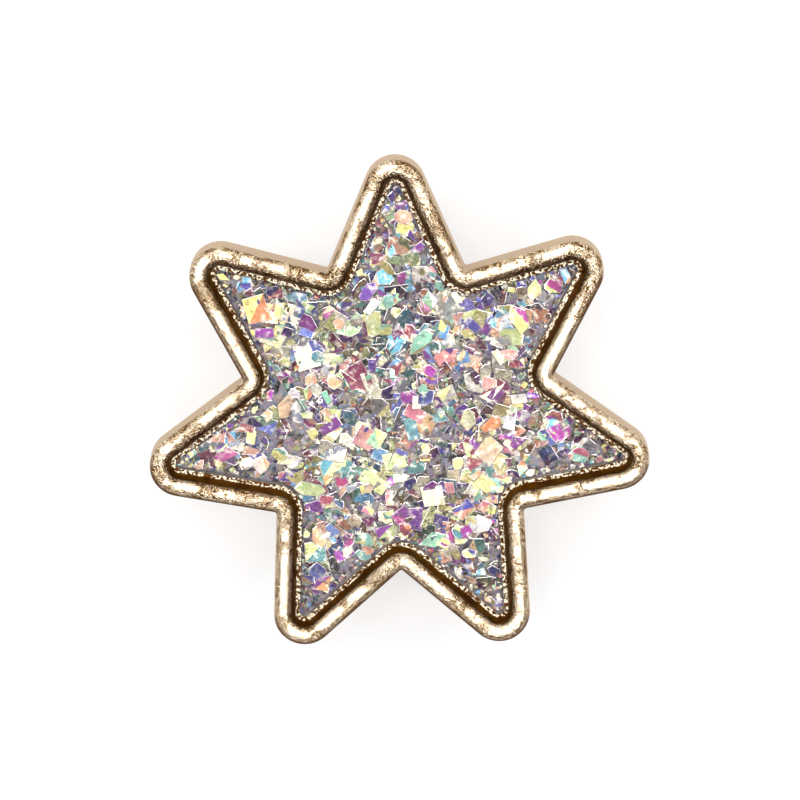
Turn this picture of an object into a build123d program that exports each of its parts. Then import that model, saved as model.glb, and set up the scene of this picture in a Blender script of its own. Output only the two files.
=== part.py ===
from build123d import *
import math
import os

# A star-shaped lapel pin: a die-cast star tray filled with glitter resin, with two
# nail posts soldered into its back and a butterfly clutch on each post.
# Millimetres. The origin is the centre of the casting's back face, +Z runs out of
# the face that people see, and +Y points at the top tip.

# Star casting
POINTS = 7
TIP_REACH = 19.36  # centre to a tip, before it is rounded
NOTCH_REACH = 10.12  # centre to a notch, before it is rounded
TIP_RADIUS = 1.97
NOTCH_RADIUS = 0.16
SHARPEST_TIP = 0.12  # the smallest radius at the tips of the inner outlines
CASTING_HEIGHT = 3.2
FLOOR_THICKNESS = 0.8
BEAD_WIDTH = 1.1  # raised rim, across its top
BEAD_OUTER_ROUND = 0.55
BEAD_INNER_ROUND = 0.6
BACK_EDGE_ROUND = 0.2
LEDGE_HEIGHT = 1.85
LEDGE_WIDTH = 0.26
WELL_INSET = 1.63  # from the outside of the star to the wall of the resin well

# Filling, from the floor up
BASE_COAT = 0.1
RESIN_TOP = 1.58
TOPCOAT_CROWN = 0.08  # how far the clear coat stands above the ledge
TOPCOAT_SHOULDER = 0.25  # how far in from the ledge it reaches that height
COARSE_FLAKE_RADIUS = 0.55
COARSE_FLAKE_LEVEL = 1.4
FINE_FLAKE_RADIUS = 0.22
FINE_FLAKE_LEVEL = 1.15
FLAKE_THICKNESS = 0.05
FLAKES_IN_SPIRAL = 60
SPIRAL_PITCH = 0.88
ARM_FLAKE_RADII = (8.2, 9.5, 10.8, 12.1)

# Posts, soldered into round recesses in the back
POST_X = 5.6
POST_Y = -1.9
SHAFT_RADIUS = 0.575
GROOVE_RADIUS = 0.4
POST_LENGTH = 8.0
POINT_LENGTH = 1.2
POINT_TIP_RADIUS = 0.1
GROOVE_MARGIN = 0.1  # how far the groove runs past the jaws at each end
HEAD_RADIUS = 2.0
HEAD_THICKNESS = 0.3
RECESS_RADIUS = 2.3
RECESS_DEPTH = 0.45

# Butterfly clutches. Heights are measured away from the star, from the face of the
# clutch that bears on the cloth.
CLOTH_GAP = 3.3  # casting to clutch, with the jaws at the groove
BASE_RADIUS = 5.5
BASE_SHEET = 0.32
POST_HOLE_RADIUS = 1.2
HUB_RADIUS = 2.1  # the raised seat that the jaws slide on
HUB_HEIGHT = 0.45
HUB_SLOPE = 0.4
HUB_INSET = 0.15  # the hollow under the hub is smaller than the hub by this
LIP_RADIUS = 4.55  # inner edge of the rim that is curled over the cover
RUNNING_GAP = 0.04
COVER_SHEET = 0.3
FLANGE_RADIUS = 5.0
DRUM_RADIUS = 2.9
DRUM_ROUND = 0.5
DRUM_FOOT_ROUND = 0.1
DRUM_TOP = 2.9
COVER_HOLE_RADIUS = 0.85
WINDOW_HALF_WIDTH = 1.85
WINDOW_FLAT = 2.0

# Jaws: each is one stamping, a slotted plate with a wing bent up from it
JAW_SHEET = 0.25
LOWER_JAW_LEVEL = 0.975  # middle of the sheet
UPPER_JAW_LEVEL = 1.275
JAW_HALF_WIDTH = 1.7
JAW_HEEL = 1.05  # how far the plate runs past the post, away from its wing
SLOT_HALF_WIDTH = 0.65
SLOT_GRIP = 0.615  # slot's gripping end, from the post's axis
SLOT_FREE_END = 1.2
WING_BEND = 2.3
WING_BEND_RADIUS = 0.45
WING_KNEE = (4.35, 4.3)
WING_TIP = (4.95, 5.0)
WING_WAIST = 3.1
WING_SHOULDER = 3.7
WING_HALF_WIDTH = 2.3
WING_END = 5.15
WING_END_RADIUS = 1.4

# Spring ring that pushes the two wings apart
SPRING_RADIUS = 2.29
SPRING_WIRE = 0.35
SPRING_LEVEL = 1.72
SPRING_ARC = 300

# Worked out from the above
TIP_HALF_ANGLE = math.atan2(
    NOTCH_REACH * math.sin(math.pi / POINTS),
    TIP_REACH - NOTCH_REACH * math.cos(math.pi / POINTS),
)
EDGE_DISTANCE = TIP_REACH * math.sin(TIP_HALF_ANGLE)  # centre to each straight edge
GROOVE_START = CLOTH_GAP + LOWER_JAW_LEVEL - JAW_SHEET / 2 - GROOVE_MARGIN
GROOVE_END = CLOTH_GAP + UPPER_JAW_LEVEL + JAW_SHEET / 2 + GROOVE_MARGIN
CURL_OUTER = BASE_SHEET + COVER_SHEET / 2 + RUNNING_GAP  # radius of the curled rim
CURL_INNER = COVER_SHEET / 2 + RUNNING_GAP
CURL_CENTRE = BASE_RADIUS - CURL_OUTER
FLANGE_LEVEL = BASE_SHEET + RUNNING_GAP
GOLDEN_ANGLE = 180 * (3 - math.sqrt(5))


def star_outline(inset):
    """The star moved inwards by inset, its tips and notches rounded to match."""
    shrink = 1 - inset / EDGE_DISTANCE
    reaches = [TIP_REACH * shrink, NOTCH_REACH * shrink] * POINTS
    corners = []
    for step, reach in enumerate(reaches):
        angle = math.pi / 2 + step * math.pi / POINTS
        corners.append((reach * math.cos(angle), reach * math.sin(angle)))
    with BuildSketch() as star:
        with BuildLine():
            Polyline(*corners, close=True)
        make_face()
        notches = star.vertices().sort_by_distance((0, 0))[:POINTS]
        fillet(notches, NOTCH_RADIUS + inset)
        tips = star.vertices().sort_by_distance((0, 0))[-POINTS:]
        fillet(tips, max(TIP_RADIUS - inset, SHARPEST_TIP))
    return star.sketch


def star_slab(inset, bottom, top):
    """A flat layer of the star, between two heights."""
    with BuildPart() as slab:
        with BuildSketch(Plane.XY.offset(bottom)):
            add(star_outline(inset))
        extrude(amount=top - bottom)
    return slab.part


def star_casting():
    """Tray with a raised bead round its edge and a narrow ledge round the resin."""
    with BuildPart() as casting:
        with BuildSketch():
            add(star_outline(0))
        extrude(amount=CASTING_HEIGHT)
        with BuildSketch(Plane.XY.offset(FLOOR_THICKNESS)):
            add(star_outline(WELL_INSET))
        extrude(amount=CASTING_HEIGHT, mode=Mode.SUBTRACT)
        with BuildSketch(Plane.XY.offset(LEDGE_HEIGHT)):
            add(star_outline(WELL_INSET - LEDGE_WIDTH))
        with BuildSketch(Plane.XY.offset(CASTING_HEIGHT)):
            add(star_outline(BEAD_WIDTH))
        loft(ruled=True, mode=Mode.SUBTRACT)
        bead_top = casting.faces().sort_by(Axis.Z)[-1]
        fillet(bead_top.outer_wire().edges(), BEAD_OUTER_ROUND)
        bead_top = casting.faces().filter_by(Axis.Z).sort_by(Axis.Z)[-1]
        fillet(bead_top.inner_wires()[0].edges(), BEAD_INNER_ROUND)
        back = casting.faces().sort_by(Axis.Z)[0]
        fillet(back.edges(), BACK_EDGE_ROUND)
        with BuildSketch():
            with Locations((-POST_X, POST_Y), (POST_X, POST_Y)):
                Circle(RECESS_RADIUS)
        extrude(amount=RECESS_DEPTH, mode=Mode.SUBTRACT)
    return casting.part


def clear_topcoat():
    """Clear resin over the glitter, flush with the ledge and crowned a little."""
    with BuildPart() as topcoat:
        with BuildSketch(Plane.XY.offset(RESIN_TOP)):
            add(star_outline(WELL_INSET))
        extrude(amount=LEDGE_HEIGHT - RESIN_TOP)
        with BuildSketch(Plane.XY.offset(LEDGE_HEIGHT)):
            add(star_outline(WELL_INSET))
        with BuildSketch(Plane.XY.offset(LEDGE_HEIGHT + TOPCOAT_CROWN)):
            add(star_outline(WELL_INSET + TOPCOAT_SHOULDER))
        loft(ruled=True)
    return topcoat.part


def flakes(radius, level, sides, turn):
    """Thin flat flakes, on a spiral in the middle and in a row along each arm."""
    with BuildPart() as glitter:
        with BuildSketch(Plane.XY.offset(level)):
            for count in range(FLAKES_IN_SPIRAL):
                reach = SPIRAL_PITCH * math.sqrt(count + 0.5)
                with PolarLocations(reach, 1, count * GOLDEN_ANGLE + turn):
                    RegularPolygon(radius, sides)
            for reach in ARM_FLAKE_RADII:
                with PolarLocations(reach, POINTS, 90):
                    RegularPolygon(radius, sides)
        extrude(amount=FLAKE_THICKNESS)
    return glitter.part


def post_axis(side):
    """The line down the middle of a post. side is -1 on the left, +1 on the right."""
    return Axis((side * POST_X, POST_Y, 0), (0, 0, 1))


def post(side):
    """Nail with a flat head, a grip groove near its end and a sharp point."""
    profile_plane = Plane(origin=(side * POST_X, POST_Y, 0), x_dir=(1, 0, 0), z_dir=(0, -1, 0))
    with BuildPart() as nail:
        with BuildSketch(profile_plane):
            with BuildLine():
                Polyline(
                    (0, RECESS_DEPTH),
                    (HEAD_RADIUS, RECESS_DEPTH),
                    (HEAD_RADIUS, RECESS_DEPTH - HEAD_THICKNESS),
                    (SHAFT_RADIUS, RECESS_DEPTH - HEAD_THICKNESS),
                    (SHAFT_RADIUS, -GROOVE_START),
                    (GROOVE_RADIUS, -GROOVE_START),
                    (GROOVE_RADIUS, -GROOVE_END),
                    (SHAFT_RADIUS, -GROOVE_END),
                    (SHAFT_RADIUS, POINT_LENGTH - POST_LENGTH),
                    (POINT_TIP_RADIUS, -POST_LENGTH),
                    (0, -POST_LENGTH),
                    close=True,
                )
            make_face()
        revolve(axis=post_axis(side))
    return nail.part


def solder_ring(side):
    """Solder that fills the recess round and over the head, level with the back."""
    under_head = RECESS_DEPTH - HEAD_THICKNESS
    profile_plane = Plane(origin=(side * POST_X, POST_Y, 0), x_dir=(1, 0, 0), z_dir=(0, -1, 0))
    with BuildPart() as ring:
        with BuildSketch(profile_plane):
            with BuildLine():
                Polyline(
                    (SHAFT_RADIUS, 0),
                    (RECESS_RADIUS, 0),
                    (RECESS_RADIUS, RECESS_DEPTH),
                    (HEAD_RADIUS, RECESS_DEPTH),
                    (HEAD_RADIUS, under_head),
                    (SHAFT_RADIUS, under_head),
                    close=True,
                )
            make_face()
        revolve(axis=post_axis(side))
    return ring.part


def clutch_plane(side):
    """Cloth face of a clutch, looking away from the star, with Y kept as Y."""
    origin = (side * POST_X, POST_Y, -CLOTH_GAP)
    return Plane(origin=origin, x_dir=(-1, 0, 0), z_dir=(0, 0, -1))


def clutch_profile_plane(side):
    """Half-section of a clutch: across is the radius, up is the height."""
    origin = (side * POST_X, POST_Y, -CLOTH_GAP)
    return Plane(origin=origin, x_dir=(1, 0, 0), z_dir=(0, 1, 0))


def clutch_side_plane(side):
    """Side view of a clutch: across is Y, up is the height."""
    origin = (side * POST_X, POST_Y, -CLOTH_GAP)
    return Plane(origin=origin, x_dir=(0, 1, 0), z_dir=(-1, 0, 0))


def clutch_base(side):
    """Disc with a raised hub round its hole and a rim curled over the cover."""
    hub_foot = HUB_RADIUS + HUB_SLOPE
    curl_top = 2 * CURL_OUTER
    with BuildPart() as base:
        with BuildSketch(clutch_profile_plane(side)):
            with BuildLine():
                Polyline(
                    (CURL_CENTRE, 0),
                    (hub_foot - HUB_INSET, 0),
                    (HUB_RADIUS - HUB_INSET, HUB_HEIGHT),
                    (POST_HOLE_RADIUS, HUB_HEIGHT),
                    (POST_HOLE_RADIUS, HUB_HEIGHT + BASE_SHEET),
                    (HUB_RADIUS, HUB_HEIGHT + BASE_SHEET),
                    (hub_foot, BASE_SHEET),
                    (CURL_CENTRE, BASE_SHEET),
                )
                ThreePointArc(
                    (CURL_CENTRE, BASE_SHEET),
                    (CURL_CENTRE + CURL_INNER, CURL_OUTER),
                    (CURL_CENTRE, curl_top - BASE_SHEET),
                )
                Polyline(
                    (CURL_CENTRE, curl_top - BASE_SHEET),
                    (LIP_RADIUS, curl_top - BASE_SHEET),
                    (LIP_RADIUS, curl_top),
                    (CURL_CENTRE, curl_top),
                )
                ThreePointArc((CURL_CENTRE, curl_top), (BASE_RADIUS, CURL_OUTER), (CURL_CENTRE, 0))
            make_face()
        revolve(axis=post_axis(side))
    return base.part


def clutch_cover(side):
    """Flanged drum with a hole for the post and an open side for each wing."""
    drum_inside = DRUM_RADIUS - COVER_SHEET
    with BuildPart() as cover:
        with BuildSketch(clutch_profile_plane(side)):
            with BuildLine():
                FilletPolyline(
                    (FLANGE_RADIUS, FLANGE_LEVEL + COVER_SHEET),
                    (DRUM_RADIUS, FLANGE_LEVEL + COVER_SHEET),
                    (DRUM_RADIUS, DRUM_TOP),
                    (COVER_HOLE_RADIUS, DRUM_TOP),
                    radius=(DRUM_FOOT_ROUND, DRUM_ROUND),
                )
                Line((COVER_HOLE_RADIUS, DRUM_TOP), (COVER_HOLE_RADIUS, DRUM_TOP - COVER_SHEET))
                FilletPolyline(
                    (COVER_HOLE_RADIUS, DRUM_TOP - COVER_SHEET),
                    (drum_inside, DRUM_TOP - COVER_SHEET),
                    (drum_inside, FLANGE_LEVEL),
                    radius=DRUM_ROUND - COVER_SHEET,
                )
                Polyline(
                    (drum_inside, FLANGE_LEVEL),
                    (FLANGE_RADIUS, FLANGE_LEVEL),
                    (FLANGE_RADIUS, FLANGE_LEVEL + COVER_SHEET),
                )
            make_face()
        revolve(axis=post_axis(side))
        with BuildSketch(clutch_plane(side).offset(FLANGE_LEVEL + COVER_SHEET)):
            with Locations((0, WINDOW_FLAT), (0, -WINDOW_FLAT - DRUM_RADIUS)):
                Rectangle(2 * WINDOW_HALF_WIDTH, DRUM_RADIUS, align=(Align.CENTER, Align.MIN))
        extrude(amount=DRUM_TOP, mode=Mode.SUBTRACT)
    return cover.part


def clutch_wing(side, way, level):
    """Jaw plate and the wing bent up from it. way is +1 towards the top tip."""
    slot_centre = way * (SLOT_FREE_END - SLOT_GRIP) / 2
    slot_length = SLOT_FREE_END + SLOT_GRIP
    with BuildPart() as wing:
        with BuildSketch(clutch_side_plane(side)):
            with BuildLine():
                FilletPolyline(
                    (-way * JAW_HEEL, level),
                    (way * WING_BEND, level),
                    (way * WING_KNEE[0], WING_KNEE[1]),
                    (way * WING_TIP[0], WING_TIP[1]),
                    radius=WING_BEND_RADIUS,
                )
            trace(line_width=JAW_SHEET)
        extrude(amount=WING_HALF_WIDTH, both=True)
        with BuildSketch(clutch_plane(side)) as plan:
            with BuildLine():
                Polyline(
                    (-JAW_HALF_WIDTH, -way * JAW_HEEL),
                    (JAW_HALF_WIDTH, -way * JAW_HEEL),
                    (JAW_HALF_WIDTH, way * WING_WAIST),
                    (WING_HALF_WIDTH, way * WING_SHOULDER),
                    (WING_HALF_WIDTH, way * WING_END),
                    (-WING_HALF_WIDTH, way * WING_END),
                    (-WING_HALF_WIDTH, way * WING_SHOULDER),
                    (-JAW_HALF_WIDTH, way * WING_WAIST),
                    close=True,
                )
            make_face()
            wing_corners = plan.vertices().group_by(Axis.Y)[-1 if way > 0 else 0]
            fillet(wing_corners, WING_END_RADIUS)
        extrude(amount=2 * WING_TIP[1], mode=Mode.INTERSECT)
        with BuildSketch(clutch_plane(side)):
            with Locations((0, slot_centre)):
                SlotOverall(slot_length, 2 * SLOT_HALF_WIDTH, rotation=90)
        extrude(amount=UPPER_JAW_LEVEL + JAW_SHEET, mode=Mode.SUBTRACT)
    return wing.part


def clutch_spring(side):
    """Open ring of round wire that bears on the inside of both wings."""
    with BuildPart() as spring:
        with BuildSketch(clutch_profile_plane(side)):
            with Locations((SPRING_RADIUS, SPRING_LEVEL)):
                Circle(SPRING_WIRE / 2)
        revolve(axis=post_axis(side), revolution_arc=SPRING_ARC)
    return spring.part


pieces = {
    "star_casting": star_casting(),
    "base_enamel": star_slab(WELL_INSET, FLOOR_THICKNESS, FLOOR_THICKNESS + BASE_COAT),
    "glitter_resin": star_slab(WELL_INSET, FLOOR_THICKNESS + BASE_COAT, RESIN_TOP),
    "coarse_glitter": flakes(COARSE_FLAKE_RADIUS, COARSE_FLAKE_LEVEL, sides=6, turn=0),
    "fine_glitter": flakes(FINE_FLAKE_RADIUS, FINE_FLAKE_LEVEL, sides=4, turn=60),
    "clear_topcoat": clear_topcoat(),
}
for name, side in (("left", -1), ("right", 1)):
    pieces[f"{name}_post"] = post(side)
    pieces[f"{name}_solder_ring"] = solder_ring(side)
    pieces[f"{name}_clutch_base"] = clutch_base(side)
    pieces[f"{name}_clutch_cover"] = clutch_cover(side)
    pieces[f"{name}_clutch_top_wing"] = clutch_wing(side, 1, LOWER_JAW_LEVEL)
    pieces[f"{name}_clutch_bottom_wing"] = clutch_wing(side, -1, UPPER_JAW_LEVEL)
    pieces[f"{name}_clutch_spring"] = clutch_spring(side)

os.makedirs("parts", exist_ok=True)
for name, piece in pieces.items():
    piece.label = name
    export_step(piece, f"parts/{name}.step")
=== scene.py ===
import math
import random

import bpy
import numpy as np
from mathutils import Matrix, Vector


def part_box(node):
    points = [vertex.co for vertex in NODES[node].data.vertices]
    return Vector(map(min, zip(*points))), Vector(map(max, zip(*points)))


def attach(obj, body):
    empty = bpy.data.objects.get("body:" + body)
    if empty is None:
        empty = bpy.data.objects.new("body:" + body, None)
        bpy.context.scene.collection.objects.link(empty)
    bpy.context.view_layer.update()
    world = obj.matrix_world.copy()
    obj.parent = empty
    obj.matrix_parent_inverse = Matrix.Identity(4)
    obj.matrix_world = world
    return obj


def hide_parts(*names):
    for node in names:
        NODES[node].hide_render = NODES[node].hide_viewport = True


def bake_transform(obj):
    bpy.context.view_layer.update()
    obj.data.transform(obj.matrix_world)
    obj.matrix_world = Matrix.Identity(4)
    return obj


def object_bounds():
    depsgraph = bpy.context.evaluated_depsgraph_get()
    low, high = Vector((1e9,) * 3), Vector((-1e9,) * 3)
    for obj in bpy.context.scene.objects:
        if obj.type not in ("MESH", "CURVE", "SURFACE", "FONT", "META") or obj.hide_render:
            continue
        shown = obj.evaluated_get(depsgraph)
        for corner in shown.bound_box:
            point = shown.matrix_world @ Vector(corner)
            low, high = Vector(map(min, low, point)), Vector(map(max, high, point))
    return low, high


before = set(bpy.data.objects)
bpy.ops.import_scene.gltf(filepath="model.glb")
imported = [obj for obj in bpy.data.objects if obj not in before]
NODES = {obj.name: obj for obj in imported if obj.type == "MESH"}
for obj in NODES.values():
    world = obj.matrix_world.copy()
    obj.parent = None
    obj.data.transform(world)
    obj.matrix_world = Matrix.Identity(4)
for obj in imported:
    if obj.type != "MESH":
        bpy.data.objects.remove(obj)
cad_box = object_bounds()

MM = 0.001


def new_object(name, data):
    made = bpy.data.objects.new(name, data)
    bpy.context.scene.collection.objects.link(made)
    return made


# ---------------------------------------------------------------- material helpers

def srgb(red, green, blue):
    """A colour given as 0 to 255 on a screen, as four linear numbers."""
    linear = []
    for channel in (red, green, blue):
        share = channel / 255
        linear.append(share / 12.92 if share <= 0.04045 else ((share + 0.055) / 1.055) ** 2.4)
    return (*linear, 1.0)


class Paint:
    """One material's node tree, with short calls for the nodes that the pin's materials share."""

    def __init__(self, name):
        self.material = bpy.data.materials.new(name)
        self.material.use_nodes = True
        self.tree = self.material.node_tree
        self.tree.nodes.clear()
        self.output = self.add("ShaderNodeOutputMaterial")
        self.position = None

    def add(self, kind, **settings):
        """A new node, with its settings."""
        node = self.tree.nodes.new(kind)
        for key, value in settings.items():
            setattr(node, key, value)
        return node

    def plug(self, source, target):
        """Sets an input to a fixed value, or links another node's output to it."""
        if isinstance(source, (int, float, tuple)):
            target.default_value = source
        else:
            self.tree.links.new(source, target)

    def principled(self, **values):
        """A principled shader, each input named with underlines for spaces."""
        shader = self.add("ShaderNodeBsdfPrincipled")
        for key, value in values.items():
            self.plug(value, shader.inputs[key.replace("_", " ")])
        return shader

    def show(self, shader):
        self.tree.links.new(shader.outputs[0], self.output.inputs["Surface"])

    def mm(self):
        """The place on the piece, in millimetres, in the piece's own axes."""
        if self.position is None:
            coordinates = self.add("ShaderNodeTexCoord")
            scale = self.add("ShaderNodeVectorMath", operation="SCALE")
            self.plug(coordinates.outputs["Object"], scale.inputs[0])
            scale.inputs["Scale"].default_value = 1 / MM
            self.position = scale.outputs[0]
        return self.position

    def stretched(self, factors):
        """The same place with each axis multiplied, for patterns that run one way."""
        stretch = self.add("ShaderNodeVectorMath", operation="MULTIPLY")
        self.plug(self.mm(), stretch.inputs[0])
        stretch.inputs[1].default_value = factors
        return stretch.outputs[0]

    def split(self, vector):
        """A vector's X, Y and Z."""
        node = self.add("ShaderNodeSeparateXYZ")
        self.plug(vector, node.inputs[0])
        return node.outputs

    def normal(self):
        """The direction that the face looks in, in the scene's axes."""
        return self.add("ShaderNodeNewGeometry").outputs["True Normal"]

    def outward(self):
        """How far the face looks away from the Z axis, times its distance from that axis in mm."""
        product = self.add("ShaderNodeVectorMath", operation="DOT_PRODUCT")
        self.plug(self.stretched((1, 1, 0)), product.inputs[0])
        self.plug(self.normal(), product.inputs[1])
        return product.outputs["Value"]

    def noise(self, per_mm, detail=3.0, roughness=0.55, at=None):
        """Cloudy noise round 0.5, with about per_mm blobs in a millimetre."""
        node = self.add("ShaderNodeTexNoise")
        self.plug(at or self.mm(), node.inputs["Vector"])
        node.inputs["Scale"].default_value = per_mm
        node.inputs["Detail"].default_value = detail
        node.inputs["Roughness"].default_value = roughness
        return node.outputs["Fac"]

    def ramp(self, value, low, high, to_low=0.0, to_high=1.0):
        """A value between low and high spread over the range to_low to to_high, smoothly."""
        node = self.add("ShaderNodeMapRange", interpolation_type="SMOOTHSTEP")
        self.plug(value, node.inputs["Value"])
        node.inputs["From Min"].default_value = low
        node.inputs["From Max"].default_value = high
        node.inputs["To Min"].default_value = to_low
        node.inputs["To Max"].default_value = to_high
        return node.outputs[0]

    def math(self, operation, *values):
        node = self.add("ShaderNodeMath", operation=operation)
        for value, socket in zip(values, node.inputs):
            self.plug(value, socket)
        return node.outputs[0]

    def times(self, first, second):
        return self.math("MULTIPLY", first, second)

    def mix(self, share, first, second):
        """Blend of two colours."""
        node = self.add("ShaderNodeMix", data_type="RGBA")
        self.plug(share, node.inputs["Factor"])
        self.plug(first, node.inputs["A"])
        self.plug(second, node.inputs["B"])
        return node.outputs["Result"]

    def bump(self, height, strength, depth_mm, under=None):
        """Relief, on top of the relief given as under."""
        node = self.add("ShaderNodeBump")
        self.plug(height, node.inputs["Height"])
        self.plug(strength, node.inputs["Strength"])
        node.inputs["Distance"].default_value = depth_mm * MM
        if under is not None:
            self.plug(under, node.inputs["Normal"])
        return node.outputs[0]


# ---------------------------------------------------------------- materials

PALE_GOLD = srgb(252, 240, 218)
WARM_GOLD = srgb(226, 190, 134)
# dark brown of the pits, and of the painted shade on the bead's south side
PIT_AND_SHADE_BROWN = srgb(98, 62, 28)
# painted shade: a darker tan gold on every face that does not look up
WALL_SHADE_GOLD = srgb(186, 158, 126)
# painted shade: dark brown on the inner wall of the rim
INNER_WALL_SHADE = srgb(112, 76, 34)
# The ledge: painted shade, dark brown, flecked with painted glints, near-white
LEDGE_PAINTED_SHADE = srgb(92, 58, 24)
LEDGE_PAINTED_GLINT = srgb(255, 248, 222)
WELL_WALL = srgb(236, 230, 216)
GOLD_GLOSS = srgb(255, 250, 240)

# The casting's zones. Each pair of values is where a zone starts and where it is in full.
# By height above the star's back, in mm:
RESIN_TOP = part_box("glitter_resin")[1].z / MM
BARE_HEIGHT = (RESIN_TOP + 0.1, RESIN_TOP + 0.15)
WELL_HEIGHT = (RESIN_TOP + 0.17, RESIN_TOP + 0.12)
LEDGE_HEIGHT = (RESIN_TOP + 0.7, RESIN_TOP + 0.4)
BEAD_HEIGHT = (2.2, 2.5)
# By how far a face looks outward:
LOOKS_IN = (-0.5, -1.5)
LOOKS_OUT = (0.5, 1.5)
# By the Z of the direction that a face looks in, and for the last by its Y:
LOOKS_UP = (0.15, 0.5)
STEEP = (0.7, 0.4)
BEAD_SHOULDER = (0.97, 0.7)
BEAD_SIDE = (0.86, 0.6)
LOOKS_SOUTH = (-0.04, -0.32)

# Every noise here is given by its blobs in a millimetre, its detail and, for some, its roughness
PATCH_NOISE = (0.8, 3.0, 0.62)
GRAIN_NOISE = (11.5, 2.5, 0.62)
FINE_NOISE = (19.0, 2.0, 0.6)
SATIN_NOISE = (22.0, 2.0, 0.6)
# noise for the painted glints on the ledge
PAINTED_GLINT_NOISE = (5.5, 2.0, 0.6)
PATCHES = (0.42, 0.62)
PITS = (0.5, 0.54)
FLECKS = (0.4, 0.5)
# where in their noise the painted glints on the ledge start and are in full
PAINTED_GLINT_SPOTS = (0.505, 0.535)

PATCH_WEAR = 0.12  # how much lower the grain may be and still be pitted in the patches
SHOULDER_WEAR = 0.1  # the same on the bead's shoulders
LEDGE_WEAR = 0.1
FINE_IN_PITS = 0.25  # share of the fine noise in the pits
FINE_IN_RELIEF = 0.4
LEDGE_RELIEF = 0.6
GRAIN_STRENGTH = (0.32, 0.85)  # from unworn to worn
GRAIN_DEPTH = 0.09
SATIN_STRENGTH = (0.25, 0.3)  # from the outside to the bead
SATIN_DEPTH = 0.02
SOUTH_SHADE_SHARE = 0.9  # how far painted shade darkens the bead's south side towards brown
# how far the painted shade on the inner wall also darkens its grazing reflections
INNER_SHADE_TINT = 0.55
GOLD_ROUGHNESS = (0.4, 0.13)  # from the outside to the bead
SHADED_ROUGHNESS = 0.4  # added on the bead's south side, under its painted shade
SHADED_METAL = 0.3
SHADED_SPECULAR = 0.05


class CastingZones:
    """Where on the casting a spot is: for each zone a share from 0 to 1."""

    def __init__(self, paint):
        height = paint.split(paint.mm())["Z"]
        facing = paint.split(paint.normal())
        outward = paint.outward()
        bare = paint.ramp(height, *BARE_HEIGHT)
        inward = paint.ramp(outward, *LOOKS_IN)
        self.upward = paint.ramp(facing["Z"], *LOOKS_UP)
        self.grainy = paint.times(self.upward, bare)
        self.ledge = paint.times(self.grainy, paint.ramp(height, *LEDGE_HEIGHT))
        self.shoulder = paint.ramp(facing["Z"], *BEAD_SHOULDER)
        self.inner_wall = paint.times(paint.times(inward, bare), paint.ramp(facing["Z"], *STEEP))
        self.in_well = paint.times(inward, paint.ramp(height, *WELL_HEIGHT))
        bead_side = paint.times(paint.ramp(facing["Z"], *BEAD_SIDE), paint.ramp(height, *BEAD_HEIGHT))
        south = paint.times(paint.ramp(facing["Y"], *LOOKS_SOUTH), bead_side)
        # painted shade goes on the bead's outer side that looks south
        self.south_shade = paint.times(south, paint.ramp(outward, *LOOKS_OUT))


class CastingGrain:
    """Fine pits gathered in patches, and a gentler unevenness between them."""

    def __init__(self, paint, zones):
        self.grain = paint.noise(*GRAIN_NOISE)
        self.fine = paint.noise(*FINE_NOISE)
        patches = paint.ramp(paint.noise(*PATCH_NOISE), *PATCHES)
        patch_wear = paint.times(patches, PATCH_WEAR)
        wear = paint.math("ADD", patch_wear, paint.times(zones.shoulder, SHOULDER_WEAR))
        self.wear = paint.math("MAXIMUM", wear, paint.times(zones.ledge, LEDGE_WEAR))
        worn = paint.math("ADD", self.grain, self.wear)
        pitted = paint.math("SUBTRACT", worn, paint.times(self.fine, FINE_IN_PITS))
        self.pits = paint.times(paint.ramp(pitted, *PITS), zones.grainy)
        self.flecks = paint.times(paint.ramp(pitted, *FLECKS), zones.grainy)

    def relief(self, paint, zones):
        """The grain on the bead and the ledge, with satin over it everywhere."""
        height = paint.math("ADD", paint.times(self.grain, -1.0), paint.times(self.fine, FINE_IN_RELIEF))
        height = paint.times(height, paint.ramp(zones.ledge, 0.0, 1.0, 1.0, LEDGE_RELIEF))
        strength = paint.ramp(self.wear, 0.0, PATCH_WEAR, *GRAIN_STRENGTH)
        strength = paint.times(zones.grainy, paint.math("MAXIMUM", strength, zones.ledge))
        coarse = paint.bump(height, strength, GRAIN_DEPTH)
        satin = paint.ramp(zones.grainy, 0.0, 1.0, *SATIN_STRENGTH)
        return paint.bump(paint.noise(*SATIN_NOISE), satin, SATIN_DEPTH, coarse)


def casting_colour(paint, zones, grain):
    """Pale gold with warm flecks and dark brown pits, with painted shade outside, inside and on the
    bead's south side, and painted glints and shade on the ledge.
    """
    painted_glint = paint.ramp(paint.noise(*PAINTED_GLINT_NOISE), *PAINTED_GLINT_SPOTS)
    colour = paint.mix(grain.flecks, PALE_GOLD, WARM_GOLD)
    colour = paint.mix(grain.pits, colour, PIT_AND_SHADE_BROWN)
    # painted glints on dark brown painted shade along the ledge
    colour = paint.mix(zones.ledge, colour, paint.mix(painted_glint, LEDGE_PAINTED_SHADE, LEDGE_PAINTED_GLINT))
    # painted shade: faces that do not look up are a darker tan
    colour = paint.mix(paint.ramp(zones.upward, 1.0, 0.0), colour, WALL_SHADE_GOLD)
    # painted shade: the inner wall is dark brown
    colour = paint.mix(zones.inner_wall, colour, INNER_WALL_SHADE)
    # painted shade: the bead's south side turns dark brown
    colour = paint.mix(paint.times(zones.south_shade, SOUTH_SHADE_SHARE), colour, PIT_AND_SHADE_BROWN)
    return paint.mix(zones.in_well, colour, WELL_WALL)


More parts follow.
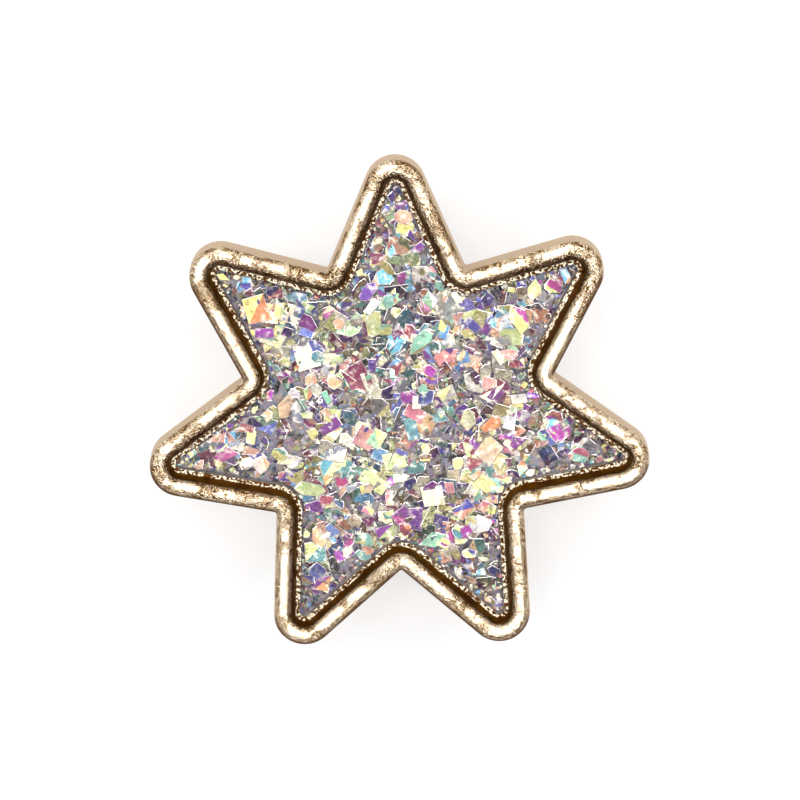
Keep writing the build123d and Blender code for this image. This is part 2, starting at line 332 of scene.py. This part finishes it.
def cast_gold():
    """Plated casting: grainy on the bead and the ledge, satin outside, smooth inside; painted shade
    darkens the walls, the inside and the bead's south side, and painted glints fleck the ledge.
    """
    paint = Paint("cast_gold")
    zones = CastingZones(paint)
    grain = CastingGrain(paint, zones)
    roughness = paint.ramp(zones.grainy, 0.0, 1.0, *GOLD_ROUGHNESS)
    not_metal = paint.math("MAXIMUM", zones.south_shade, zones.in_well)
    # painted shade also darkens the grazing reflections on the bead's south side and the inner wall
    shade_tint = paint.math("MAXIMUM", zones.south_shade, paint.times(zones.inner_wall, INNER_SHADE_TINT))
    paint.show(paint.principled(
        Base_Color=casting_colour(paint, zones, grain),
        Metallic=paint.ramp(not_metal, 0.0, 1.0, 1.0, SHADED_METAL),
        Roughness=paint.math("ADD", roughness, paint.times(zones.south_shade, SHADED_ROUGHNESS)),
        Normal=grain.relief(paint, zones),
        Specular_IOR_Level=paint.ramp(zones.south_shade, 0.0, 1.0, 0.5, SHADED_SPECULAR),
        Specular_Tint=paint.mix(shade_tint, GOLD_GLOSS, PIT_AND_SHADE_BROWN),
    ))
    return paint.material


SHEET_LIGHT = srgb(240, 212, 156)
SHEET_DARK = srgb(222, 186, 122)
SMUDGE_NOISE = (0.8, 3.0)
SMUDGES = (0.3, 0.7)
SHEET_ROUGHNESS = (0.16, 0.34)  # from clean to smudged
HAIRLINE_NOISE = (6.0, 2.0)
HAIRLINE_STRETCH = (1.0, 9.0, 1.0)
HAIRLINE_RELIEF = (0.25, 0.01)  # strength, depth in mm


def stamped_gold():
    """Bright plating on stamped sheet, with faint hairlines and handling smudges."""
    paint = Paint("stamped_gold")
    smudge = paint.noise(*SMUDGE_NOISE)
    hairline = paint.noise(*HAIRLINE_NOISE, at=paint.stretched(HAIRLINE_STRETCH))
    colour = paint.mix(smudge, SHEET_LIGHT, SHEET_DARK)
    roughness = paint.ramp(smudge, *SMUDGES, *SHEET_ROUGHNESS)
    normal = paint.bump(hairline, *HAIRLINE_RELIEF)
    paint.show(paint.principled(Base_Color=colour, Metallic=1.0, Roughness=roughness, Normal=normal))
    return paint.material


# Plated steel wire, with rings left by cutting and forming
DRAWN_POST = {
    "noise": (5.0, 2.0), "stretch": (0.2, 0.2, 6.0), "relief": (0.3, 0.012),
    "light": srgb(232, 208, 164), "dark": srgb(200, 172, 124), "roughness": 0.26,
}
# Solder under the plating, lumpy and duller than the casting
DULL_SOLDER = {
    "noise": (2.2, 4.0), "stretch": (1.0, 1.0, 1.0), "relief": (0.7, 0.08),
    "light": srgb(206, 190, 160), "dark": srgb(150, 132, 104), "roughness": 0.48,
}
SPRING_WIRE = {
    "noise": (12.0, 2.0), "stretch": (1.0, 1.0, 1.0), "relief": (0.2, 0.01),
    "light": srgb(176, 176, 180), "dark": srgb(130, 130, 136), "roughness": 0.3,
}


def plain_metal(name, noise, stretch, relief, light, dark, roughness):
    """Metal whose tone and relief follow the same noise."""
    paint = Paint(name)
    pattern = paint.noise(*noise, at=paint.stretched(stretch))
    colour = paint.mix(pattern, light, dark)
    normal = paint.bump(pattern, *relief)
    paint.show(paint.principled(Base_Color=colour, Metallic=1.0, Roughness=roughness, Normal=normal))
    return paint.material


PEARL_DARK = srgb(118, 111, 118)
PEARL_LIGHT = srgb(160, 152, 158)
PEARL_SPECK = srgb(196, 190, 204)
PEARL_NOISE = (0.7, 3.0)
PEARL_PATCHES = (
    # noise, where in it a patch starts and is in full, colour
    ((2.3, 2.0), (0.56, 0.6), srgb(112, 134, 136)),
    ((1.9, 2.0), (0.43, 0.4), srgb(168, 150, 126)),
    ((2.9, 2.0), (0.6, 0.64), srgb(132, 92, 128)),
)
SPECK_NOISE = (14.0, 2.0)
SPECKS = (0.55, 0.75)
SPECK_RELIEF = (0.4, 0.02)


def pearl_base():
    """Pearl coat under the glitter, grey with patches of sea-green, sand and mauve."""
    paint = Paint("pearl_base")
    speck = paint.noise(*SPECK_NOISE)
    colour = paint.mix(paint.noise(*PEARL_NOISE), PEARL_DARK, PEARL_LIGHT)
    for noise, patch, tint in PEARL_PATCHES:
        colour = paint.mix(paint.ramp(paint.noise(*noise), *patch), colour, tint)
    colour = paint.mix(paint.ramp(speck, *SPECKS), colour, PEARL_SPECK)
    normal = paint.bump(speck, *SPECK_RELIEF)
    paint.show(paint.principled(Base_Color=colour, Metallic=0.35, Roughness=0.4, Normal=normal))
    return paint.material


RESIN_TINT = (0.97, 0.965, 0.98, 1)
CLOUD_DARK = srgb(176, 168, 186)
CLOUD_LIGHT = srgb(206, 202, 214)
CLOUD_NOISE = (0.9, 2.0)
HAZE_NOISE = (1.3, 3.0)
HAZE_PATCHES = (0.3, 0.7)
HAZE = (0.0075, 0.0225)  # least and most of the cloud that shows
RIPPLE_NOISE = (0.5, 2.0)
RIPPLE_RELIEF = (0.15, 0.05)
TOPCOAT_ROUGHNESS = 0.04
TOPCOAT_IOR = 1.3
TOPCOAT_FLAT = (0.96, 0.99)  # Z of the direction it looks in: on its sloping edge and on its flat
EDGE_GLOSS = 0.08  # share of the gloss that is left on the sloping edge


def mixed_shader(paint, share, first, second):
    """The first shader, with the second in place of a share of it."""
    blend = paint.add("ShaderNodeMixShader")
    paint.plug(share, blend.inputs[0])
    paint.plug(first.outputs[0], blend.inputs[1])
    paint.plug(second.outputs[0], blend.inputs[2])
    return blend


def see_through(paint):
    clear = paint.add("ShaderNodeBsdfTransparent")
    clear.inputs["Color"].default_value = RESIN_TINT
    return clear


def hazy_resin():
    """Cured clear resin round the glitter, which shows through its faint lavender haze."""
    paint = Paint("resin_body")
    cloud = paint.add("ShaderNodeBsdfDiffuse")
    tone = paint.mix(paint.noise(*CLOUD_NOISE), CLOUD_DARK, CLOUD_LIGHT)
    paint.plug(tone, cloud.inputs["Color"])
    share = paint.ramp(paint.noise(*HAZE_NOISE), *HAZE_PATCHES, *HAZE)
    paint.show(mixed_shader(paint, share, see_through(paint), cloud))
    return paint.material


def glossy_topcoat():
    """Clear coat with a slightly uneven gloss."""
    paint = Paint("resin_top")
    ripple = paint.bump(paint.noise(*RIPPLE_NOISE), *RIPPLE_RELIEF)
    shine = paint.add("ShaderNodeBsdfGlossy")
    shine.inputs["Roughness"].default_value = TOPCOAT_ROUGHNESS
    paint.plug(ripple, shine.inputs["Normal"])
    fresnel = paint.add("ShaderNodeFresnel")
    fresnel.inputs["IOR"].default_value = TOPCOAT_IOR
    paint.plug(ripple, fresnel.inputs["Normal"])
    level = paint.ramp(paint.split(paint.normal())["Z"], *TOPCOAT_FLAT, EDGE_GLOSS, 1.0)
    share = paint.times(fresnel.outputs[0], level)
    paint.show(mixed_shader(paint, share, see_through(paint), shine))
    return paint.material


FILM_COLOURS = "film_colour"
FILM_PALE = srgb(255, 248, 222)
FILM_DARK = srgb(70, 52, 62)
DAPPLE_SHARE = 0.55
DAPPLE_NOISE = (2.2, 5.0, 0.62)
PALE_DAPPLES = (0.51, 0.66)
DARK_DAPPLES = (0.46, 0.3)
CRINKLE_NOISE = (5.0, 3.0)
CRINKLES = (0.3, 0.7)
CRINKLE_RELIEF = (0.5, 0.03)
FILM_ROUGHNESS = (0.1, 0.3)
FILM_METAL = 0.65


def iridescent_film():
    """Thin film flakes: each has its own colours, dappled, with a metallic sheen."""
    paint = Paint("iridescent_film")
    own = paint.add("ShaderNodeAttribute", attribute_name=FILM_COLOURS).outputs["Color"]
    dapple = paint.noise(*DAPPLE_NOISE)
    crinkle = paint.noise(*CRINKLE_NOISE)
    paler = paint.mix(DAPPLE_SHARE, own, FILM_PALE)
    darker = paint.mix(DAPPLE_SHARE, own, FILM_DARK)
    colour = paint.mix(paint.ramp(dapple, *PALE_DAPPLES), own, paler)
    colour = paint.mix(paint.ramp(dapple, *DARK_DAPPLES), colour, darker)
    roughness = paint.ramp(crinkle, *CRINKLES, *FILM_ROUGHNESS)
    normal = paint.bump(crinkle, *CRINKLE_RELIEF)
    paint.show(paint.principled(
        Base_Color=colour, Metallic=FILM_METAL, Roughness=roughness, Normal=normal,
    ))
    return paint.material


# ---------------------------------------------------------------- glitter

FLAKE_PALETTE = (
    # screen colour, share of the flakes, in the order that a thin film runs through
    ((250, 240, 206), 0.09),
    ((244, 230, 140), 0.13),
    ((206, 214, 140), 0.05),
    ((150, 200, 160), 0.06),
    ((92, 144, 134), 0.05),
    ((112, 186, 208), 0.05),
    ((120, 128, 190), 0.05),
    ((60, 70, 136), 0.05),
    ((110, 60, 140), 0.09),
    ((180, 66, 156), 0.04),
    ((128, 42, 62), 0.05),
    ((222, 150, 150), 0.03),
    ((204, 156, 130), 0.06),
    ((206, 122, 72), 0.04),
    ((236, 196, 144), 0.06),
    ((255, 252, 244), 0.03),
    ((146, 150, 152), 0.03),
    ((110, 112, 120), 0.04),
)
VIVID = 1.06  # multiplies the palette's distance from grey
COLOUR_RUN = 0.55  # how far a flake's colour may run towards a neighbouring one at a corner
COLOUR_JITTER = 6
FLAKE_LIGHT = (0.86, 1.1)
CORNER_LIGHT = (0.84, 1.12)
# painted highlight: the pale colour of each flake's rim and edges
OUTLINE_GLINT_COLOUR = (244, 236, 230)
FLAKE_SHEET = 0.024 * MM  # thickness
OUTLINE_WIDTH = 0.045 * MM  # bevelled rim of each flake, painted pale as a highlight along its edge
OUTLINE_DROP = 0.014 * MM
MOST_SHRUNK = 0.5  # the flat inside the rim is at least this share of the flake
STRIP_SHARE = 0.4
STRIP_LENGTH = (0.8, 1.25)  # times the size across
STRIP_SHAPE = (1.0, 2.2)  # length over width
STRIP_ENDS = (0.78, 1.05)  # how uneven the cut ends are, as shares of the length
STRIP_SIDES = (0.88, 1.04)
SHARD_STRETCH = (1.0, 1.9)
SHARD_TURN = 0.28  # how far a shard's corner may be from its even place, as a share of the step
SHARD_REACH = (0.75, 1.1)
FOLDED_SHARE = 0.5
FOLD_ANGLE = 16  # degrees either way
WALL_GAP = 0.02 * MM  # how near to the wall of the well a flake's corner may be
WALL_CROWDING = 1.9  # a flake is at most this many times its distance from the wall
SMALLEST_FLAKE = 0.2 * MM
WALL_BAND = 0.45 * MM  # the band by the wall that the first by_wall flakes keep to
DEEP_SHADE = 0.42  # how much of its light a flake at the bottom of the resin keeps
# Across in mm, highest as a share of the resin's depth, tilt in degrees, sides of a shard
COARSE = {
    "count": 1300, "by_wall": 130, "across": (0.8, 1.95), "highest": 1.0,
    "tilt": 22, "sides": (4, 7), "seed": 11, "outlined": True,
}
FINE = {
    "count": 3000, "by_wall": 900, "across": (0.2, 0.55), "highest": 0.8,
    "tilt": 40, "sides": (3, 5), "seed": 23, "outlined": False,
}


SAME_LEVEL = 0.01 * MM


class Well:
    """The star-shaped well that the resin fills, read from the resin's own solid."""

    def __init__(self, node):
        self.low, self.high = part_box(node)
        top = {
            (round(v.co.x, 7), round(v.co.y, 7))
            for v in NODES[node].data.vertices
            if abs(v.co.z - self.high.z) < SAME_LEVEL
        }
        self.wall = np.array(sorted(top, key=lambda spot: math.atan2(spot[1], spot[0])))
        self.next = np.roll(self.wall, -1, axis=0)

    def depth_inside(self, x, y):
        """How far a spot is from the wall: more than zero inside, less outside."""
        spot = np.array((x, y))
        edge = self.next - self.wall
        share = ((spot - self.wall) * edge).sum(1) / (edge * edge).sum(1)
        nearest = self.wall + np.clip(share, 0, 1)[:, None] * edge
        distance = np.sqrt(((spot - nearest) ** 2).sum(1)).min()
        crosses = (self.wall[:, 1] > y) != (self.next[:, 1] > y)
        run = np.where(edge[:, 1] == 0, 1, edge[:, 1])
        reach = self.wall[:, 0] + (y - self.wall[:, 1]) / run * edge[:, 0]
        inside = (crosses & (x < reach)).sum() % 2 == 1
        return distance if inside else -distance


def corner_colour(draw, light, main, other):
    """A screen colour between two of the palette, as bright as its light."""
    run = draw.uniform(0, COLOUR_RUN)
    lit = light * draw.uniform(*CORNER_LIGHT)
    mixed = [(1 - run) * first + run * second for first, second in zip(main, other)]
    grey = sum(mixed) / 3
    vivid = [grey + (channel - grey) * VIVID for channel in mixed]
    jittered = [channel * lit + draw.uniform(-COLOUR_JITTER, COLOUR_JITTER) for channel in vivid]
    return [min(255, max(0, channel)) for channel in jittered]


def film_colours(draw, light, count):
    """Screen colours for a flake's corners: one of the palette, running towards a neighbouring one."""
    shares = [share for _, share in FLAKE_PALETTE]
    place = draw.choices(range(len(FLAKE_PALETTE)), shares)[0]
    main = FLAKE_PALETTE[place][0]
    other = FLAKE_PALETTE[(place + draw.choice((-1, 1, 2))) % len(FLAKE_PALETTE)][0]
    light *= draw.uniform(*FLAKE_LIGHT)
    return [corner_colour(draw, light, main, other) for _ in range(count)]


def strip_corners(draw, across):
    """A length cut from a strip of film, its ends a little askew."""
    half_length = across / 2 * draw.uniform(*STRIP_LENGTH)
    half_width = half_length / draw.uniform(*STRIP_SHAPE)
    turn = Matrix.Rotation(draw.uniform(0, math.tau), 3, "Z")
    corners = []
    for along, over in ((1, -1), (1, 1), (-1, 1), (-1, -1)):
        x = along * half_length * draw.uniform(*STRIP_ENDS)
        y = over * half_width * draw.uniform(*STRIP_SIDES)
        corners.append(turn @ Vector((x, y, 0)))
    return corners


def flake_corners(draw, across, sides):
    """A cut strip or an irregular shard with a few straight edges."""
    if draw.random() < STRIP_SHARE:
        return strip_corners(draw, across)
    count = draw.randint(*sides)
    stretch = math.sqrt(draw.uniform(*SHARD_STRETCH))
    turn = Matrix.Rotation(draw.uniform(0, math.tau), 3, "Z")
    corners = []
    for step in range(count):
        angle = math.tau * (step + draw.uniform(-SHARD_TURN, SHARD_TURN)) / count
        reach = across / 2 * draw.uniform(*SHARD_REACH)
        x = reach * math.cos(angle) * stretch
        y = reach * math.sin(angle) / stretch
        corners.append(turn @ Vector((x, y, 0)))
    return corners


def fold(draw, corners):
    """Bends a flake along the line between two of its corners. Returns its flat and its bent side."""
    count = len(corners)
    start = draw.randrange(count)
    end = start + draw.randint(2, count - 2)
    bent = [step % count for step in range(start, end + 1)]
    ridge = (corners[end % count] - corners[start]).normalized()
    bend = Matrix.Rotation(math.radians(draw.uniform(-FOLD_ANGLE, FOLD_ANGLE)), 3, ridge)
    for step in bent[1:-1]:
        corners[step] = corners[start] + bend @ (corners[step] - corners[start])
    flat = [step % count for step in range(end, start + count + 1)]
    return flat, bent


class FlakeSheet:
    """The points, faces and colours of many flakes, gathered for one mesh."""

    def __init__(self):
        self.points = []
        self.faces = []
        self.colours = []

    def face(self, corners, colours):
        self.faces.append(corners)
        self.colours += colours

    def ring(self, middle, pose, corners, rise, shrink=1.0):
        """A flake's corners as points, rise above its middle. Returns the number of the first."""
        first = len(self.points)
        lift = pose @ Vector((0, 0, 1)) * rise
        self.points += [middle + pose @ (corner * shrink) + lift for corner in corners]
        return first

    def add(self, middle, pose, corners, sides, colours, outlined):
        """One flake: sides are its flat parts, as lists of corners, with a colour for each corner."""
        count = len(corners)
        half = FLAKE_SHEET / 2
        shrink = 1.0
        if outlined:
            reach = sum(corner.length for corner in corners) / count
            shrink = max(MOST_SHRUNK, 1 - OUTLINE_WIDTH / reach)
        inner = self.ring(middle, pose, corners, half, shrink)
        rim = self.ring(middle, pose, corners, half - OUTLINE_DROP) if outlined else inner
        under = self.ring(middle, pose, corners, -half)
        for side, run in zip(sides, colours):
            tones = [srgb(*colour) for colour in run]
            self.face([inner + step for step in side], tones)
            self.face([under + step for step in reversed(side)], tones[::-1])
        # painted highlight: the rim and the edges are pale
        edge_glint = [srgb(*OUTLINE_GLINT_COLOUR)] * 4
        for step in range(count):
            follow = (step + 1) % count
            if outlined:
                self.face([inner + follow, inner + step, rim + step, rim + follow], edge_glint)
            self.face([rim + follow, rim + step, under + step, under + follow], edge_glint)

    def piece(self, name, material):
        mesh = bpy.data.meshes.new(name)
        mesh.from_pydata(self.points, [], self.faces)
        mesh.update()
        layer = mesh.color_attributes.new(FILM_COLOURS, "FLOAT_COLOR", "CORNER")
        layer.data.foreach_set("color", np.array(self.colours, np.float32).ravel())
        mesh.materials.append(material)
        return new_object(name, mesh)


def cut_flake(draw, kind, room):
    """A flake's corners, flat sides and tilt. It is smaller when it has less room."""
    across = MM * draw.triangular(*kind["across"], kind["across"][0])
    across = min(across, max(SMALLEST_FLAKE, WALL_CROWDING * room))
    corners = flake_corners(draw, across, kind["sides"])
    sides = [list(range(len(corners)))]
    if len(corners) > 3 and draw.random() < FOLDED_SHARE:
        sides = fold(draw, corners)
    lean = Matrix.Rotation(math.radians(draw.gauss(0, kind["tilt"] / 2)), 3, "X")
    pose = Matrix.Rotation(draw.uniform(0, math.tau), 3, "Z") @ lean
    return corners, sides, pose


def scatter_flakes(name, kind, well, material):
    """One piece of many thin flakes at random tilts, all inside the resin."""
    draw = random.Random(kind["seed"])
    sheet = FlakeSheet()
    made = 0
    while made < kind["count"]:
        x = draw.uniform(well.low.x, well.high.x)
        y = draw.uniform(well.low.y, well.high.y)
        room = well.depth_inside(x, y)
        if room < SMALLEST_FLAKE / 2 or (room > WALL_BAND and made < kind["by_wall"]):
            continue
        corners, sides, pose = cut_flake(draw, kind, room)
        spread = [pose @ corner for corner in corners]
        reach = max(abs(corner.z) for corner in spread) + FLAKE_SHEET
        free = well.high.z - well.low.z - 2 * reach
        if free < 0:
            continue
        if any(well.depth_inside(x + c.x, y + c.y) < WALL_GAP for c in spread):
            continue
        level = draw.uniform(0, kind["highest"])
        middle = Vector((x, y, well.low.z + reach + level * free))
        light = DEEP_SHADE + (1 - DEEP_SHADE) * level
        colours = [film_colours(draw, light, len(side)) for side in sides]
        sheet.add(middle, pose, corners, sides, colours, kind["outlined"])
        made += 1
    return sheet.piece(name, material)


# ---------------------------------------------------------------- clutch springs

def part_of_mesh(source, place, faces, name):
    """A new object from some of a mesh's faces, put in its place."""
    used = sorted({corner for face in faces for corner in face.vertices})
    number = {corner: step for step, corner in enumerate(used)}
    points = [place @ source.vertices[corner].co for corner in used]
    mesh = bpy.data.meshes.new(name)
    mesh.from_pydata(points, [], [[number[corner] for corner in face.vertices] for face in faces])
    mesh.polygons.foreach_set("use_smooth", [True] * len(faces))
    return new_object(name, mesh)


def spring_half(side, way, wing, material):
    """Half of a clutch's spring ring, named after the wing on its side. Way is +1 towards the top tip.
    """
    ring = NODES[f"{side}_clutch_spring"]
    low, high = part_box(f"{side}_clutch_spring")
    middle = (low + high) / 2
    place = ring.matrix_world
    faces = [f for f in ring.data.polygons if way * ((place @ f.center).y - middle.y) > 0]
    half = part_of_mesh(ring.data, place, faces, f"{wing}_spring_half")
    half.data.materials.append(material)
    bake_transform(half)
    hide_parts(f"{side}_clutch_spring")


# ---------------------------------------------------------------- dressing the nodes

def dress(node, material):
    """Gives a CAD node its material."""
    for slot in NODES[node].material_slots:
        slot.material = material


sheet_gold = stamped_gold()
post_gold = plain_metal("drawn_post", **DRAWN_POST)
solder = plain_metal("dull_solder", **DULL_SOLDER)
wire = plain_metal("spring_wire", **SPRING_WIRE)
dress("star_casting", cast_gold())
dress("base_enamel", pearl_base())
dress("glitter_resin", hazy_resin())
dress("clear_topcoat", glossy_topcoat())
for side in ("left", "right"):
    dress(f"{side}_post", post_gold)
    dress(f"{side}_solder_ring", solder)
    dress(f"{side}_clutch_base", sheet_gold)
    dress(f"{side}_clutch_cover", sheet_gold)
    dress(f"{side}_clutch_top_wing", sheet_gold)
    dress(f"{side}_clutch_bottom_wing", sheet_gold)
    spring_half(side, 1, f"{side}_top_wing", wire)
    spring_half(side, -1, f"{side}_bottom_wing", wire)

well = Well("glitter_resin")
film = iridescent_film()
for name, node, kind in (
    ("coarse_glitter_flakes", "coarse_glitter", COARSE),
    ("fine_glitter_flakes", "fine_glitter", FINE),
):
    flakes = scatter_flakes(name, kind, well, film)
    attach(flakes, "star")
    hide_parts(node)


# ---------------------------------------------------------------- stage, light, camera

FLOOR_SIZE = 8.0
FLOOR_GREY = (0.45, 0.45, 0.45, 1)
FLOOR_ROUGHNESS = 0.9
FLOOR_GLOW = 0.6
WHITE = (1, 1, 1, 1)
LIGHT_REACH = 0.5  # how far every light is from the star
OVERHEAD_LEAN = 8  # degrees from straight up
OVERHEAD_SIZE = 0.5
OVERHEAD_RADIANCE = 1.9
SKY_BRIGHTEST = (0, 0.64, 0.77)  # direction of the sky's brightest part
SKY_SPREAD = (0.3, 0.85)  # cosine from that direction where it is darkest and brightest
SKY_DARK = (0.1, 0.065, 0.04, 1)
SKY_LIGHT = (0.85, 0.86, 0.88, 1)
GLINT_SIZE = 0.05
GLINT_RADIANCE = 26.0
GLINT_PLACES = ((38, 20), (30, 110), (42, 200), (34, 290), (14, 330))  # lean and compass turn, degrees
TILT_NORTH = 9.0  # the camera's lean from straight above, towards the top tip, in degrees
TILT_WEST = -0.09
ROLL = 0.92  # degrees
LENS = 360.0
NEAREST_SEEN = 0.01
FARTHEST_SEEN = 10.0
DISTANCE = 0.5115  # metres from the star's middle
FRAME_RIGHT = 0.08 * MM  # how far the picture's centre is from the star's
FRAME_UP = 0.66 * MM
STAR_MIDDLE = Vector((0, 0, 1.6 * MM))


def lay_floor(level):
    """Pale paper that glows a little, so that it stays white beside the star."""
    edge = FLOOR_SIZE / 2
    corners = [(-edge, -edge, level), (edge, -edge, level), (edge, edge, level), (-edge, edge, level)]
    mesh = bpy.data.meshes.new("floor")
    mesh.from_pydata(corners, [], [(0, 1, 2, 3)])
    paper = Paint("floor_paper")
    paper.show(paper.principled(
        Base_Color=FLOOR_GREY, Roughness=FLOOR_ROUGHNESS,
        Emission_Color=WHITE, Emission_Strength=FLOOR_GLOW,
    ))
    mesh.materials.append(paper.material)
    return new_object("floor", mesh)


def panel(name, lean, compass, size, radiance):
    """A square soft light at the shared reach, leaning from straight up, that faces the star."""
    light = bpy.data.lights.new(name, "AREA")
    light.shape = "SQUARE"
    light.size = size
    light.energy = radiance * math.pi * size * size
    flat = LIGHT_REACH * math.sin(math.radians(lean))
    place = Vector((
        flat * math.sin(math.radians(compass)),
        flat * math.cos(math.radians(compass)),
        LIGHT_REACH * math.cos(math.radians(lean)),
    ))
    lamp = new_object(name, light)
    lamp.location = place
    lamp.rotation_euler = place.to_track_quat("Z", "Y").to_euler()


def soft_sky():
    """A sky that fades from its brightest part to a dark warm tone on the other side."""
    world = bpy.data.worlds.new("studio")
    world.use_nodes = True
    sky = world.node_tree
    place = sky.nodes.new("ShaderNodeTexCoord")
    lit_from = sky.nodes.new("ShaderNodeVectorMath")
    lit_from.operation = "DOT_PRODUCT"
    lit_from.inputs[1].default_value = SKY_BRIGHTEST
    sky.links.new(place.outputs["Generated"], lit_from.inputs[0])
    rise = sky.nodes.new("ShaderNodeMapRange")
    rise.interpolation_type = "SMOOTHSTEP"
    rise.inputs["From Min"].default_value, rise.inputs["From Max"].default_value = SKY_SPREAD
    sky.links.new(lit_from.outputs["Value"], rise.inputs["Value"])
    tone = sky.nodes.new("ShaderNodeMix")
    tone.data_type = "RGBA"
    tone.inputs["A"].default_value = SKY_DARK
    tone.inputs["B"].default_value = SKY_LIGHT
    sky.links.new(rise.outputs[0], tone.inputs["Factor"])
    sky.links.new(tone.outputs["Result"], sky.nodes["Background"].inputs["Color"])
    return world


def photo_camera():
    """A long lens almost straight above the star, with the top tip up in the picture."""
    towards = Vector((
        -math.sin(math.radians(TILT_WEST)),
        math.sin(math.radians(TILT_NORTH)),
        math.cos(math.radians(TILT_NORTH)),
    )).normalized()
    right = Vector((0, 1, 0)).cross(towards).normalized()
    roll = Matrix.Rotation(math.radians(-ROLL), 3, towards)
    up = roll @ towards.cross(right)
    right = roll @ right
    camera = new_object("camera", bpy.data.cameras.new("camera"))
    camera.data.lens = LENS
    camera.data.clip_start = NEAREST_SEEN
    camera.data.clip_end = FARTHEST_SEEN
    camera.matrix_world = Matrix((right, up, towards)).transposed().to_4x4()
    camera.location = STAR_MIDDLE + towards * DISTANCE + right * FRAME_RIGHT + up * FRAME_UP
    return camera


floor = lay_floor(cad_box[0].z)
panel("overhead_panel", OVERHEAD_LEAN, 0, OVERHEAD_SIZE, OVERHEAD_RADIANCE)
for number, (lean, compass) in enumerate(GLINT_PLACES, 1):
    panel(f"glint_{number}", lean, compass, GLINT_SIZE, GLINT_RADIANCE)
bpy.context.scene.world = soft_sky()
bpy.context.scene.view_settings.view_transform = "Standard"
bpy.context.scene.camera = photo_camera()
